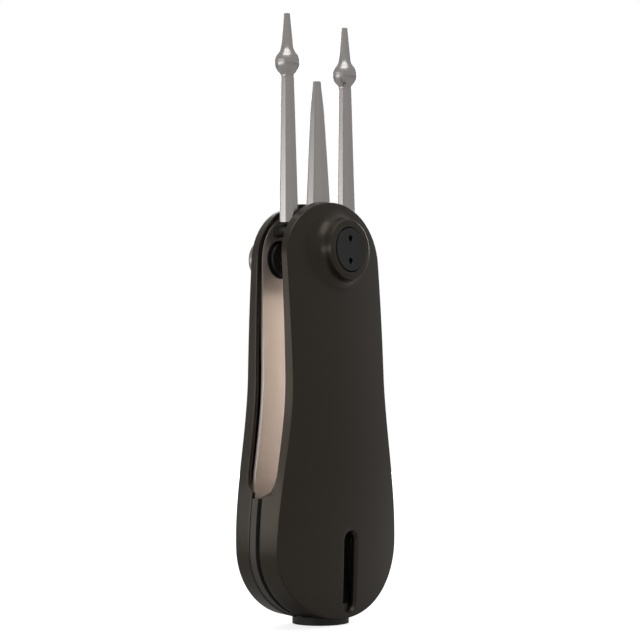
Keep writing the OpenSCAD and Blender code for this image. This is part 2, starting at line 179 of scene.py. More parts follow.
class DivotToolColours(PropertyGroup):
    """Colours of the finishes, as linear values."""

    shell: FloatVectorProperty(
        name="Shells",
        description="Warm black coating of the shells",
        subtype="COLOR", default=(0.0120, 0.0088, 0.0062), min=0, max=1,
    )
    liner: FloatVectorProperty(
        name="Liners",
        description="Champagne metal of the liner plates",
        subtype="COLOR", default=(0.97, 0.90, 0.84), min=0, max=1,
    )
    steel: FloatVectorProperty(
        name="Steel",
        description="Polished steel of the prongs",
        subtype="COLOR", default=(0.56, 0.53, 0.515), min=0, max=1,
    )
    black: FloatVectorProperty(
        name="Black parts",
        description="Blackened pins and plunger",
        subtype="COLOR", default=(0.012, 0.0105, 0.0095), min=0, max=1,
    )
    bronze: FloatVectorProperty(
        name="Bronze",
        description="Bush, washers and thread inserts",
        subtype="COLOR", default=(0.56, 0.36, 0.14), min=0, max=1,
    )


# Meshes


def grid_faces(rows, columns, wraps):
    """Index quadruples of a grid of rows by columns, whose last column joins its first if it wraps."""
    last = columns if wraps else columns - 1
    row, column = np.meshgrid(np.arange(rows - 1), np.arange(last), indexing="ij")
    beside = (column + 1) % columns
    here, above = row * columns, (row + 1) * columns
    return np.stack((here + column, here + beside, above + beside, above + column), -1).reshape(-1, 4)


def make_piece(name, grids, finish, body="handle", takes=(), sharp=32.0):
    """Joins closed grids of points in mm into one mesh, stands it up in the frame and lets it ride on a body."""
    points, faces, start = [], [], 0
    for grid in grids:
        rows, columns = grid.shape[:2]
        points.append(grid.reshape(-1, 3))
        faces.append(grid_faces(rows, columns, True) + start)
        start += rows * columns
    flat = np.concatenate(points)
    standing = np.column_stack([flat[:, 0], -flat[:, 2], flat[:, 1]]) * MM
    mesh = bpy.data.meshes.new(name)
    mesh.from_pydata(standing, [], np.concatenate(faces))
    return finish_piece(name, mesh, finish, body, takes, sharp)


def finish_piece(name, mesh, finish, body, takes, sharp):
    """Merges doubles, turns the faces outwards, shades smooth up to the sharp angle and attaches the piece."""
    work = bmesh.new()
    work.from_mesh(mesh)
    bmesh.ops.remove_doubles(work, verts=work.verts, dist=MERGE)
    bmesh.ops.recalc_face_normals(work, faces=work.faces)
    work.to_mesh(mesh)
    work.free()
    mesh.polygons.foreach_set("use_smooth", np.ones(len(mesh.polygons), bool))
    mesh.set_sharp_from_angle(angle=math.radians(sharp))
    mesh.materials.append(finish)
    piece = bpy.data.objects.new(name, mesh)
    bpy.context.scene.collection.objects.link(piece)
    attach(piece, body)
    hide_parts(*takes)
    return piece


def softened(node, name, finish, width):
    """A copy of a frame node whose flat faces are joined again and whose edges are rounded by a small bevel."""
    work = bmesh.new()
    work.from_mesh(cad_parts[node].data)
    bmesh.ops.remove_doubles(work, verts=work.verts, dist=MERGE)
    bmesh.ops.dissolve_limit(work, angle_limit=math.radians(1.0), verts=work.verts, edges=work.edges)
    mesh = bpy.data.meshes.new(name)
    work.to_mesh(mesh)
    work.free()
    piece = finish_piece(name, mesh, finish, "handle", (node,), SOFTENED_SHARP)
    bevel = piece.modifiers.new("soft edges", "BEVEL")
    bevel.width = width * MM
    bevel.segments = 2
    bevel.limit_method = "ANGLE"
    bevel.angle_limit = math.radians(40)
    bevel.harden_normals = False
    return piece


def turned(profile, x, z, around=96):
    """Surface of revolution about the front-to-back axis through (x, z): each profile point is (radius, level)."""
    profile = np.asarray(profile, float)
    angle = np.linspace(0, 2 * np.pi, around, endpoint=False)
    radius = profile[:, :1]
    level = np.broadcast_to(profile[:, 1:], (len(profile), around))
    return np.dstack([x + radius * np.cos(angle), z + radius * np.sin(angle), level])


def rounded(corners, radius, steps=5):
    """Profile through the corners, each inner corner replaced by a curve that starts and ends a radius away.

    The curve is the sum of the three points weighted by (1 - u) squared, 2u(1 - u) and u squared.
    """
    corners = np.asarray(corners, float)
    u = np.linspace(0, 1, steps)[:, None]
    path = [corners[:1]]
    for before, here, after in zip(corners[:-2], corners[1:-1], corners[2:]):
        back, on = before - here, after - here
        start = here + back * min(0.5, radius / max(np.linalg.norm(back), 1e-9))
        end = here + on * min(0.5, radius / max(np.linalg.norm(on), 1e-9))
        path.append(start * (1 - u) ** 2 + here * 2 * u * (1 - u) + end * u**2)
    path.append(corners[-1:])
    return np.concatenate(path)


def coil(x, z, radius, wire, turns, low, high, around=10):
    """Round wire wound about the front-to-back axis: a circle of the wire's radius is carried along a helix.

    The level rises in proportion to the angle, and both ends shrink to a point.
    """
    angle = np.linspace(0, 2 * np.pi * turns, 40 * turns)[:, None]
    turn = np.linspace(0, 2 * np.pi, around, endpoint=False)
    thick = np.full_like(angle, wire / 2)
    thick[[0, -1]] = 0
    out = radius + thick * np.cos(turn)
    level = low + wire / 2 + (high - low - wire) * angle / angle[-1] + thick * np.sin(turn)
    return np.dstack([x + out * np.cos(angle), z + out * np.sin(angle), level])


# Handle


def s_curve(u):
    """Smooth step from 0 to 1: 3u squared minus 2u cubed, with u held between 0 and 1."""
    u = np.clip(u, 0, 1)
    return u * u * (3 - 2 * u)


def handle_outline():
    """Edge of the handle as a closed loop, anticlockwise from the middle of the foot, and where it is cut.

    Half width against level: a quarter ellipse over the foot, an S curve up to the straight sides,
    and a quarter ellipse over the head.
    """
    foot = np.radians(np.linspace(0, 90, 91))
    flare = np.concatenate([
        np.linspace(14.2, 23.4, 18),
        np.linspace(23.6, 28.2, 30),
        np.linspace(28.6, STRAIGHT_FROM, 28),
    ])
    straight = np.linspace(STRAIGHT_FROM, HANDLE_LENGTH - HEAD_HEIGHT, 44)[1:-1]
    head = np.radians(np.linspace(0, 90, 61))
    wide = HEAD_HALF + (FOOT_HALF - HEAD_HALF) * s_curve((STRAIGHT_FROM - flare) / (STRAIGHT_FROM - FOOT_HEIGHT))
    right = np.concatenate([
        np.column_stack([FOOT_HALF * np.sin(foot), FOOT_HEIGHT * (1 - np.cos(foot))]),
        np.column_stack([wide, flare]),
        np.column_stack([np.full_like(straight, HEAD_HALF), straight]),
        np.column_stack([HEAD_HALF * np.cos(head), HANDLE_LENGTH - HEAD_HEIGHT * (1 - np.sin(head))]),
    ])
    left = right[-2:0:-1] * [-1, 1]
    cut = len(foot) + len(flare) - 1
    return np.concatenate([right, left]), cut


def outwards(loop):
    """Unit vectors that point out of a closed anticlockwise loop: its chord direction turned by a right angle."""
    along = np.roll(loop, -1, 0) - np.roll(loop, 1, 0)
    out = np.column_stack([along[:, 1], -along[:, 0]])
    return out / np.linalg.norm(out, axis=1, keepdims=True)


def face_level(x, z, crown=BACK_CROWN):
    """Level of a shell's face: its highest level less x squared over twice the crown's radius, and so along z."""
    return HALF_THICKNESS - x**2 / (2 * crown) - (z - BELLY) ** 2 / (2 * LENGTH_RADIUS)


def front_level(x, z):
    """Level of the front shell's flatter face."""
    return face_level(x, z, FRONT_CROWN)


def rim_level(z, rim):
    """Level of a shell's rim: flat at the foot, then the edge of the side opening.

    The opening starts as a quarter circle and goes on as a parabola about its tallest level.
    """
    start = OPENING_HALF - (OPENING_FROM - OPENING_TALLEST) ** 2 / OPENING_CURVE
    turn = start * np.sqrt(np.clip(1 - ((OPENING_FROM + start - z) / start) ** 2, 0, 1))
    arch = OPENING_HALF - (z - OPENING_TALLEST) ** 2 / OPENING_CURVE
    opening = np.where(z < OPENING_FROM + start, turn, arch)
    return np.where(z < OPENING_FROM, rim, np.maximum(rim, opening))


def shell_band(loop, rim, face, sizes):
    """Side of a shell: a profile carried round the outline, from the face over the rounded edge, down the side
    wall, round the rim and up the inside of the wall. Every row is the outline moved in by a width."""
    out = outwards(loop)
    reach = sizes.edge_round + sizes.side_bulge
    top = face(*(loop - out * reach).T)
    low = rim_level(loop[:, 1], rim)
    corner = np.radians(np.linspace(0, 90, 10))[:, None]
    drop = np.minimum(sizes.edge_round, (top - low) * 0.45)
    level = [top - drop * (1 - np.cos(corner))]
    inset = [np.broadcast_to(sizes.edge_round * (1 - np.sin(corner)), level[0].shape)]
    side = np.linspace(0, 1, 9)[1:, None]
    lip = 0.22
    level.append((top - drop) * (1 - side) + (low + lip) * side)
    inset.append(np.zeros((8, len(loop))))
    turn = np.radians(np.linspace(0, 90, 5))[1:, None]
    level.append(np.broadcast_to(low + lip * (1 - np.sin(turn)), (4, len(loop))))
    inset.append(np.broadcast_to(lip * (1 - np.cos(turn)), (4, len(loop))))
    inner = face(*(loop - out * SIDE_WALL).T) - FACE_WALL
    level.append(np.stack([low, low + 0.12, inner]))
    inset.append(np.broadcast_to([[SIDE_WALL - 0.12], [SIDE_WALL], [SIDE_WALL]], (3, len(loop))))
    level, inset = np.concatenate(level), np.concatenate(inset)
    lean = np.clip((level - low) / (top - low), 0, 1) * (np.arange(len(level)) < len(level) - 3)[:, None]
    inset = inset + sizes.side_bulge * lean
    flat = loop - out * inset[..., None]
    return np.dstack([flat, level])


def two_loops(loop, cut):
    """Closed loops below and above the straight line between the points at the cut and its mirror image."""
    other = len(loop) - cut
    line = np.linspace(loop[cut], loop[other], CUT_POINTS + 2)[1:-1]
    lower = np.concatenate([loop[np.r_[other : len(loop), 0 : cut + 1]], line])
    upper = np.concatenate([loop[cut : other + 1], line[::-1]])
    return lower, upper


def round_hole(loop, centre, radius):
    """The point of a circle on the straight line from its centre to each point of a loop."""
    ray = loop - centre
    return centre + radius * ray / np.linalg.norm(ray, axis=1, keepdims=True)


def long_hole(loop, centre, half_width, half_length):
    """The point of a slot with half-round ends on the straight line from its centre to each point of a loop.

    On the flanks that is where the line is half a width from the middle; past them it meets the end circle.
    """
    ray = loop - centre
    ray = ray / np.linalg.norm(ray, axis=1, keepdims=True)
    straight = half_length - half_width
    across, along = np.abs(ray[:, 0]), np.abs(ray[:, 1])
    flank = half_width / np.maximum(across, 1e-6)
    end = along * straight + np.sqrt(np.maximum(half_width**2 - (across * straight) ** 2, 0))
    reach = np.where(flank * along <= straight, flank, end)
    return centre + ray * reach[:, None]


def between(outer, inner, rows, level):
    """Rings in straight lines from an outer to an inner loop, each at the level its place has."""
    u = np.linspace(0, 1, rows)[:, None, None]
    flat = outer * (1 - u) + inner * u
    return np.dstack([flat, level(flat[..., 0], flat[..., 1])])


def chip_slot(loop, grow=0.0):
    """The point of the chip slot's edge, moved out by a width, towards each point of a loop."""
    return long_hole(loop, SLOT_MIDDLE, SLOT_HALF_WIDTH + grow, SLOT_HALF_LENGTH + grow)


def stacked(loops, levels):
    """One ring for each loop, at its own level, which is a number or one for each point."""
    rings = [np.column_stack([loop, np.broadcast_to(level, len(loop))]) for loop, level in zip(loops, levels)]
    return np.stack(rings)


def inside_level(x, z):
    """Level of the inside of a shell's face."""
    return face_level(x, z) - FACE_WALL


def front_inside(x, z):
    """Level of the inside of the front shell's face."""
    return front_level(x, z) - FACE_WALL


def boss_rings(loop, sizes):
    """Boss and the seat of the pivot cap: rings about the pivot.

    Up to the boss's edge a ring's level is the face's plus a share of what is left to the top; past it the
    levels are the boss's own.
    """
    shares = np.array([
        [sizes.boss_foot, 0], [7.5, 0.02], [7.0, 0.07], [6.6, 0.15], [6.3, 0.24], [6.1, 0.33], [5.95, 0.43],
        [5.85, 0.54], [5.78, 0.66], [5.73, 0.78], [5.68, 0.9], [5.6, 0.97], [5.45, 1.0], [4.3, 1.0],
    ])
    loops = [round_hole(loop, PIVOT, radius) for radius in shares[:, 0]]
    levels = [face_level(*ring.T) * (1 - share) + BOSS_TOP * share for ring, share in zip(loops, shares[:, 1])]
    for radius, depth in ((4.18, 0.12), (CAP_SEAT, 1.15), (0, 1.15)):
        loops.append(round_hole(loop, PIVOT, radius))
        levels.append(BOSS_TOP - depth)
    return stacked(loops, levels)


def slot_rings(loop):
    """Chip slot: a sloping rim, then straight walls down to the inside of the face."""
    steps = ((SLOT_RIM, 0.0), (0.38, 0.03), (0.1, 0.5), (0.02, 0.62), (0.0, 0.75))
    loops = [chip_slot(loop, grow) for grow, _ in steps]
    levels = [face_level(*ring.T) - depth for ring, (_, depth) in zip(loops, steps)]
    loops.append(loops[-1])
    levels.append(inside_level(*loops[-1].T))
    return stacked(loops, levels)


class DIVOT_OT_back_shell(Operator):
    """Makes the shell with the boss and the chip slot."""

    bl_idname = "divot_tool.back_shell"
    bl_label = "Back shell"

    def execute(self, context):
        sizes = context.scene.divot_tool_sizes
        loop, cut = handle_outline()
        inset = loop - outwards(loop) * (sizes.edge_round + sizes.side_bulge)
        lower, upper = two_loops(inset, cut)
        wall = loop - outwards(loop) * SIDE_WALL
        low_in, high_in = two_loops(wall, cut)
        grids = [
            shell_band(loop, BACK_RIM, face_level, sizes),
            between(lower, chip_slot(lower, SLOT_RIM), 34, face_level),
            between(upper, round_hole(upper, PIVOT, sizes.boss_foot), 26, face_level),
            boss_rings(upper, sizes),
            slot_rings(lower),
            between(low_in, chip_slot(lower), 8, inside_level),
            between(high_in, round_hole(upper, PIVOT, 0), 8, inside_level),
        ]
        make_piece("back_shell_skin", grids, coating(), takes=("back_shell",))
        return {"FINISHED"}


class DIVOT_OT_front_shell(Operator):
    """Makes the shell with the seat of the ball marker and the bore of the button."""

    bl_idname = "divot_tool.front_shell"
    bl_label = "Front shell"

    def execute(self, context):
        sizes = context.scene.divot_tool_sizes
        loop, cut = handle_outline()
        inset = loop - outwards(loop) * (sizes.edge_round + sizes.side_bulge)
        lower, upper = two_loops(inset, cut)
        wall = loop - outwards(loop) * SIDE_WALL
        low_in, high_in = two_loops(wall, cut)
        seat_radius = MARKER_RADIUS + SEAT_PLAY
        radii = (seat_radius + 0.2, seat_radius, seat_radius, MAGNET_HOLE, MAGNET_HOLE, 0)
        loops = [round_hole(lower, MARKER, radius) for radius in radii]
        levels = [front_level(*loops[0].T), front_level(*loops[1].T) - 0.2]
        levels += [SEAT_LEVEL, SEAT_LEVEL, MAGNET_FLOOR, MAGNET_FLOOR]
        floor = round_hole(lower, MARKER, MARKER_RADIUS + 1.2)
        bore = [round_hole(upper, BUTTON, BORE_RADIUS + grow) for grow in (0.2, 0.02, 0, 0)]
        bore_levels = [front_level(*ring.T) - depth for ring, depth in zip(bore, (0, 0.08, 0.25, FACE_WALL))]
        grids = [
            shell_band(loop, FRONT_RIM, front_level, sizes),
            between(lower, loops[0], 34, front_level),
            stacked(loops, levels),
            between(upper, bore[0], 30, front_level),
            stacked(bore, bore_levels),
            between(low_in, floor, 8, front_inside),
            stacked([floor, round_hole(lower, MARKER, 0)], [front_inside(*floor.T), 3.4]),
            between(high_in, bore[-1], 8, front_inside),
        ]
        for grid in grids:
            grid[..., 2] *= -1
        make_piece("front_shell_skin", grids, coating(), takes=("front_shell",))
        return {"FINISHED"}


# Fork


def facets(angle, sharpness):
    """Radius of a soft-cornered octagon of inner radius 1: the n-th root of one over the sum of |cos| to the n."""
    total = sum(np.abs(np.cos(angle - k * np.pi / 4)) ** sharpness for k in range(4))
    return total ** (-1 / sharpness)


def prong_grid(x, behind, level, radius, roundness, sharpness, around=96):
    """Bar along the handle: at each level an octagon of that inner radius, turned round by its roundness."""
    angle = np.linspace(0, 2 * np.pi, around, endpoint=False)
    shape = facets(angle, sharpness)
    across = radius[:, None] * (shape * (1 - roundness[:, None]) + roundness[:, None])
    up = np.broadcast_to(level[:, None], across.shape)
    return np.dstack([x + across * np.cos(angle), up, behind + across * np.sin(angle)])


def soft_larger(a, b, width):
    """The larger of two curves, blended where they are within a width of each other by the mean plus a root."""
    return (a + b + np.sqrt((a - b) ** 2 + width**2)) / 2


def eased(values, reach):
    """Running mean of evenly spaced values, with the ends held."""
    padded = np.pad(values, reach, mode="edge")
    return np.convolve(padded, np.full(2 * reach + 1, 1 / (2 * reach + 1)), "valid")


def closed_end(level, radius, tip, turn):
    """Ends of a prong: the root shrinks to a point at its level, and the tip is turned over with a small round."""
    end = np.clip((tip - level) / turn, 0, 1)
    radius = radius - turn * (1 - np.sqrt(1 - (1 - end) ** 2))
    radius[[0, -1]] = 0
    level[0], level[-1] = level[1], level[-2]
    return level, radius


def outer_prong(x, behind, foot, tip, ball_at, ball_radius, sharpness):
    """Outer prong: a slow taper, a ball, and a spike whose foot widens into the ball as an exponential."""
    level = np.linspace(foot, tip, 400)
    below = np.interp(level, [foot, ball_at - 2.3], [1.77, 1.2])
    flare = np.maximum(level - ball_at - 1.4, 0)
    above = 0.52 + (tip - level) * 0.0857 + 0.85 * np.exp(-flare / 0.85)
    bar = np.where(level < ball_at, below, above)
    ball = np.sqrt(np.clip(ball_radius**2 - (level - ball_at) ** 2, 0, None))
    width = np.where(level < ball_at, 0.12, 0.3)
    radius = np.minimum(eased(soft_larger(bar, ball, width) - 0.01, 3), ball_radius)
    round_part = s_curve((level - (ball_at - 2.9)) / 1.1) * (1 - s_curve((level - (ball_at + 2.6)) / 2.4))
    level, radius = closed_end(level, radius, tip, 0.12)
    return prong_grid(x, behind, level, radius, round_part, sharpness)


def middle_prong(x, behind, foot, tip, sharpness):
    """Middle prong: stout at its root, with a taper that grows towards its small round end."""
    level = np.linspace(foot, tip, 300)
    stations = tip - np.array([27.6, 22.3, 13.1, 5.5, 2.5, 0.9, 0.0])
    radius = eased(np.interp(level, stations, [2.45, 2.2, 1.72, 1.28, 0.97, 0.81, 0.7]), 14)
    level, radius = closed_end(level, radius, tip, 0.15)
    return prong_grid(x, behind, level, radius, np.zeros_like(level), sharpness)


class DIVOT_OT_prongs(Operator):
    """Makes the three faceted prongs."""

    bl_idname = "divot_tool.prongs"
    bl_label = "Prongs"

    def execute(self, context):
        sharpness = context.scene.divot_tool_sizes.corner_round
        foot = PIVOT[1] + ROOT_ABOVE_PIVOT
        for node in ("left_prong", "right_prong"):
            x, _, behind = middle(node)
            tip = span(node)[1][1]
            grid = outer_prong(x, behind, foot, tip, tip - BALL_DROP, BALL_RADIUS, sharpness)
            make_piece(node + "_skin", [grid], steel(), "fork", (node,), 50)
        x, _, behind = middle("middle_prong")
        grid = middle_prong(x, behind, foot, span("middle_prong")[1][1], sharpness)
        make_piece("middle_prong_skin", [grid], steel(), "fork", ("middle_prong",), 50)
        dress("prong_carrier", steel())
        dress("pivot_bush", bronze())
        return {"FINISHED"}


# Small parts


def key_disc(low, top):
    """Round cap with two blind key holes: rings run from each half of its edge to the hole in that half."""
    angle = np.linspace(0, 2 * np.pi, CAP_POINTS, endpoint=False)
    half_way, flat_radius = CAP_POINTS // 2, CAP_RADIUS - CAP_BEVEL
    circle = np.column_stack([CAP_RADIUS * np.cos(angle), CAP_RADIUS * np.sin(angle)]) + PIVOT
    inner = PIVOT + (circle - PIVOT) * flat_radius / CAP_RADIUS
    profile = rounded([[CAP_RADIUS, low], [CAP_RADIUS, top], [flat_radius, top]], 0.25, 5)
    side = stacked([PIVOT + (circle - PIVOT) * r / CAP_RADIUS for r, _ in profile], profile[:, 1])

    def dish(x, z):
        from_middle = (x - PIVOT[0]) ** 2 + (z - PIVOT[1]) ** 2
        return top - 0.05 * np.clip(1 - from_middle / flat_radius**2, 0, 1)

    line = np.linspace(inner[half_way], inner[0], 62)[1:-1]
    upper = np.concatenate([inner[: half_way + 1], line])
    lower = np.concatenate([inner[np.r_[half_way:CAP_POINTS, 0:1]], line[::-1]])
    grids = [side]
    for half, sign in ((upper, 1), (lower, -1)):
        at = PIVOT + np.array([0, sign * KEY_PITCH / 2])
        rim = round_hole(half, at, KEY_RADIUS + 0.08)
        grids.append(between(half, rim, 12, dish))
        wall = round_hole(half, at, KEY_RADIUS)
        levels = [dish(*rim.T), top - 0.14, top - KEY_DEPTH, top - KEY_DEPTH - 0.12]
        grids.append(stacked([rim, wall, wall, round_hole(half, at, 0)], levels))
    grids.append(stacked([circle, PIVOT + (circle - PIVOT) * 0], [low, low]))
    return grids


class DIVOT_OT_pivot(Operator):
    """Makes the pivot cap and axle and dresses the washers."""

    bl_idname = "divot_tool.pivot"
    bl_label = "Pivot"

    def execute(self, context):
        cap = key_disc(BOSS_TOP - CAP_DEPTH, span("pivot_cap")[1][2])
        make_piece("pivot_cap_skin", cap, blacked(), takes=("pivot_cap",))
        end, shoulder = span("pivot_axle")[1][2], -LINER_OUT - 0.95
        head = rounded([
            [0, -6.75], [1.2, -6.72], [2.9, -6.35], [3.0, -5.4],
            [3.0, shoulder], [1.6, shoulder], [1.6, end], [0, end],
        ], 0.2)
        axle = [turned(head, *PIVOT)]
        make_piece("pivot_axle_skin", axle, steel(), takes=("pivot_axle",))
        dress("back_washer", bronze())
        dress("front_washer", bronze())
        return {"FINISHED"}


class DIVOT_OT_lock(Operator):
    """Makes the release button, its plunger and bush, and the stop post."""

    bl_idname = "divot_tool.lock"
    bl_label = "Button lock"

    def execute(self, context):
        low, high = span("release_button")
        top, foot = low[2], high[2]
        dome = [
            [0, top], [2.4, top + 0.03], [3.6, top + 0.12], [4.0, top + 0.5], [4.0, foot],
            [3.1, foot], [3.1, foot - 0.4], [1.7, foot - 1.4], [1.7, top + 0.8], [0, top + 0.8],
        ]
        button = [turned(rounded(dome, 0.3), *BUTTON)]
        make_piece("release_button_skin", button, nickel(), "button", ("release_button",))
        low, high = span("lock_plunger")
        end, foot = low[2], high[2]
        nose = [
            [0, end], [1.6, end], [1.6, foot - 0.75], [3.0, foot - 0.75], [3.0, foot],
            [1.1, foot], [0.9, foot - 0.25], [0, foot - 0.25],
        ]
        plunger = [turned(rounded(nose, 0.22), *BUTTON)]
        make_piece("lock_plunger_skin", plunger, blacked(), "button", ("lock_plunger",))
        low, high = span("plunger_bush")
        end, foot = low[2], high[2]
        bush = [[1.65, end], [3.6, end], [3.6, foot], [1.65, foot], [1.65, end]]
        guide = [turned(rounded(bush, 0.1), *BUTTON)]
        make_piece("plunger_bush_skin", guide, blacked(), takes=("plunger_bush",))
        low, high = span("stop_post")
        end, foot = low[2], high[2]
        post = [
            [0, end], [0.8, end], [0.8, -LINER_IN], [1.2, -LINER_IN],
            [1.2, LINER_IN], [0.8, LINER_IN], [0.8, foot], [0, foot],
        ]
        pin = [turned(rounded(post, 0.18), *POST, 64)]
        make_piece("stop_post_skin", pin, blacked(), takes=("stop_post",))
        return {"FINISHED"}


class DIVOT_OT_springs(Operator):
    """Winds the torsion spring and the button spring from round wire."""

    bl_idname = "divot_tool.springs"
    bl_label = "Springs"

    def execute(self, context):
        for node, at, wire in (("torsion_spring", PIVOT, COIL_WIRE), ("button_spring", BUTTON, BUTTON_WIRE)):
            low, high = span(node)
            radius = (high[0] - low[0]) / 2 - wire / 2
            grid = coil(*at, radius, wire, SPRING_TURNS, low[2], high[2])
            make_piece(node + "_skin", [grid], steel(), takes=(node,), sharp=80)
        return {"FINISHED"}


class DIVOT_OT_marker(Operator):
    """Makes the ball marker and dresses its magnet."""

    bl_idname = "divot_tool.marker"
    bl_label = "Ball marker"

    def execute(self, context):
        low, high = span("ball_marker")
        front, back, r = low[2], high[2], MARKER_RADIUS
        rim = [
            [0, back], [r - 0.1, back], [r, back - 0.3], [r, front + 0.35],
            [r - 0.3, front], [r - 1.5, front], [r - 1.75, front + 0.3], [r - 2.0, front + 0.3],
            [r - 2.2, front + 0.12], [r - 3.0, front + 0.12], [r - 3.2, front + 0.3], [0, front + 0.16],
        ]
        disc = [turned(rounded(rim, 0.14), *MARKER, 160)]
        make_piece("ball_marker_skin", disc, nickel(), "marker", ("ball_marker",))
        dress("marker_magnet", nickel())
        return {"FINISHED"}


class DIVOT_OT_inside(Operator):
    """Softens the liners and the sharpener body and dresses the core, the sharpener's blade and the fasteners."""

    bl_idname = "divot_tool.inside"
    bl_label = "Liners, core, sharpener and fasteners"

    def execute(self, context):
        softened("back_liner", "back_liner_soft", champagne(), 0.12)
        softened("front_liner", "front_liner_soft", champagne(), 0.12)
        dress("core_spacer", core_metal())
        softened("sharpener_body", "sharpener_body_soft", moulded(), 0.25)
        dress("sharpener_blade", steel())
        dress("blade_screw", steel())
        dress("assembly_screws", steel())
        dress("thread_inserts", bronze())
        return {"FINISHED"}


# Materials


def node_group(name, inputs, outputs):
    """New shader node group with named number or vector sockets; returns it with its two ends."""
    group = bpy.data.node_groups.new(name, "ShaderNodeTree")
    for label, kind, value in inputs:
        socket = group.interface.new_socket(label, in_out="INPUT", socket_type=kind)
        if value is not None:
            socket.default_value = value
    for label in outputs:
        group.interface.new_socket(label, in_out="OUTPUT", socket_type="NodeSocketFloat")
    return group, group.nodes.new("NodeGroupInput"), group.nodes.new("NodeGroupOutput")


def noise(tree, vector, scale, detail):
    """Noise texture whose vector and scale come from sockets."""
    node = tree.nodes.new("ShaderNodeTexNoise")
    node.inputs["Detail"].default_value = detail
    tree.links.new(vector, node.inputs["Vector"])
    if isinstance(scale, float):
        node.inputs["Scale"].default_value = scale
    else:
        tree.links.new(scale, node.inputs["Scale"])
    return node.outputs["Fac"]


def maths(tree, operation, a, b):
    """Maths node on two sockets or numbers."""
    node = tree.nodes.new("ShaderNodeMath")
    node.operation = operation
    node.use_clamp = operation == "MULTIPLY"
    for value, socket in ((a, node.inputs[0]), (b, node.inputs[1])):
        if isinstance(value, (int, float)):
            socket.default_value = value
        else:
            tree.links.new(value, socket)
    return node.outputs[0]


def grain_group():
    """Surface grain: a fine height and a broad, slow tone from the same place."""
    if "surface grain" in bpy.data.node_groups:
        return bpy.data.node_groups["surface grain"]
    group, start, end = node_group(
        "surface grain",
        [
            ("Vector", "NodeSocketVector", None),
            ("Fineness", "NodeSocketFloat", 6000.0),
            ("Patches", "NodeSocketFloat", 90.0),
        ],
        ("Height", "Tone"),
    )
    fine = noise(group, start.outputs["Vector"], start.outputs["Fineness"], 3.0)
    group.links.new(fine, end.inputs["Height"])
    group.links.new(noise(group, start.outputs["Vector"], start.outputs["Patches"], 4.0), end.inputs["Tone"])
    return group


def wear_group():
    """Edge wear: high where the surface turns outwards sharply, broken up by noise."""
    if "edge wear" in bpy.data.node_groups:
        return bpy.data.node_groups["edge wear"]
    group, start, end = node_group(
        "edge wear",
        [
            ("Vector", "NodeSocketVector", None),
            ("Amount", "NodeSocketFloat", 0.3),
            ("From", "NodeSocketFloat", 0.53),
        ],
        ("Mask",),
    )
    shape = group.nodes.new("ShaderNodeNewGeometry")
    edge = maths(group, "SUBTRACT", shape.outputs["Pointiness"], start.outputs["From"])
    edge = maths(group, "MULTIPLY", maths(group, "MAXIMUM", edge, 0.0), 9.0)
    broken = noise(group, start.outputs["Vector"], 900.0, 4.0)
    mask = maths(group, "MULTIPLY", maths(group, "MULTIPLY", edge, broken), start.outputs["Amount"])
    group.links.new(mask, end.inputs["Mask"])
    return group


def material(name, colour, worn, rough, metal=1.0, fineness=4200.0, stretch=(1, 1, 1), bump=0.2,
             wear=0.3, tone=0.1, gloss=0.5, tint=(1, 1, 1)):
    """Procedural finish: a base colour that changes softly, worn edges and a fine grain in the bump."""
    if name in bpy.data.materials:
        return bpy.data.materials[name]
    made = bpy.data.materials.new(name)
    made.use_nodes = True
    tree = made.node_tree
    shader = tree.nodes["Principled BSDF"]
    place = tree.nodes.new("ShaderNodeTexCoord")
    mapping = tree.nodes.new("ShaderNodeMapping")
    mapping.inputs["Scale"].default_value = stretch
    tree.links.new(place.outputs["Object"], mapping.inputs["Vector"])
    grain = tree.nodes.new("ShaderNodeGroup")
    grain.node_tree = grain_group()
    grain.inputs["Fineness"].default_value = fineness
    tree.links.new(mapping.outputs["Vector"], grain.inputs["Vector"])
    edges = tree.nodes.new("ShaderNodeGroup")
    edges.node_tree = wear_group()
    edges.inputs["Amount"].default_value = wear
    tree.links.new(place.outputs["Object"], edges.inputs["Vector"])
    colour = np.array(colour)
    patches = tree.nodes.new("ShaderNodeMix")
    patches.data_type = "RGBA"
    patches.inputs[6].default_value = (*(colour * (1 - tone)), 1)
    patches.inputs[7].default_value = (*(colour * (1 + tone)), 1)
    tree.links.new(grain.outputs["Tone"], patches.inputs[0])
    rub = tree.nodes.new("ShaderNodeMix")
    rub.data_type = "RGBA"
    rub.inputs[7].default_value = (*worn, 1)
    tree.links.new(edges.outputs["Mask"], rub.inputs[0])
    tree.links.new(patches.outputs[2], rub.inputs[6])
    tree.links.new(rub.outputs[2], shader.inputs["Base Color"])
    ramp = tree.nodes.new("ShaderNodeMapRange")
    ramp.inputs["To Min"].default_value = rough - ROUGH_CHANGE
    ramp.inputs["To Max"].default_value = rough + ROUGH_CHANGE
    tree.links.new(grain.outputs["Tone"], ramp.inputs["Value"])
    tree.links.new(ramp.outputs["Result"], shader.inputs["Roughness"])
    raised = tree.nodes.new("ShaderNodeBump")
    raised.inputs["Strength"].default_value = bump
    raised.inputs["Distance"].default_value = 0.05 * MM
    tree.links.new(grain.outputs["Height"], raised.inputs["Height"])
    tree.links.new(raised.outputs["Normal"], shader.inputs["Normal"])
    shader.inputs["Metallic"].default_value = metal
    shader.inputs["Specular IOR Level"].default_value = gloss
    shader.inputs["Specular Tint"].default_value = (*tint, 1)
    return made


def colours():
    """The colours that the user can change."""
    return bpy.context.scene.divot_tool_colours


def coating():
    return material("soft black coating", colours().shell, (0.06, 0.054, 0.044), 0.3, metal=0.0, fineness=5200.0,
                    bump=0.12, tone=0.14, gloss=0.62, tint=(1, 0.87, 0.72))


def steel():
    return material("polished steel", colours().steel, (0.75, 0.73, 0.7), 0.28, fineness=3500.0,
                    stretch=(1, 1, 0.06), bump=0.25, wear=0.2, tone=0.05)


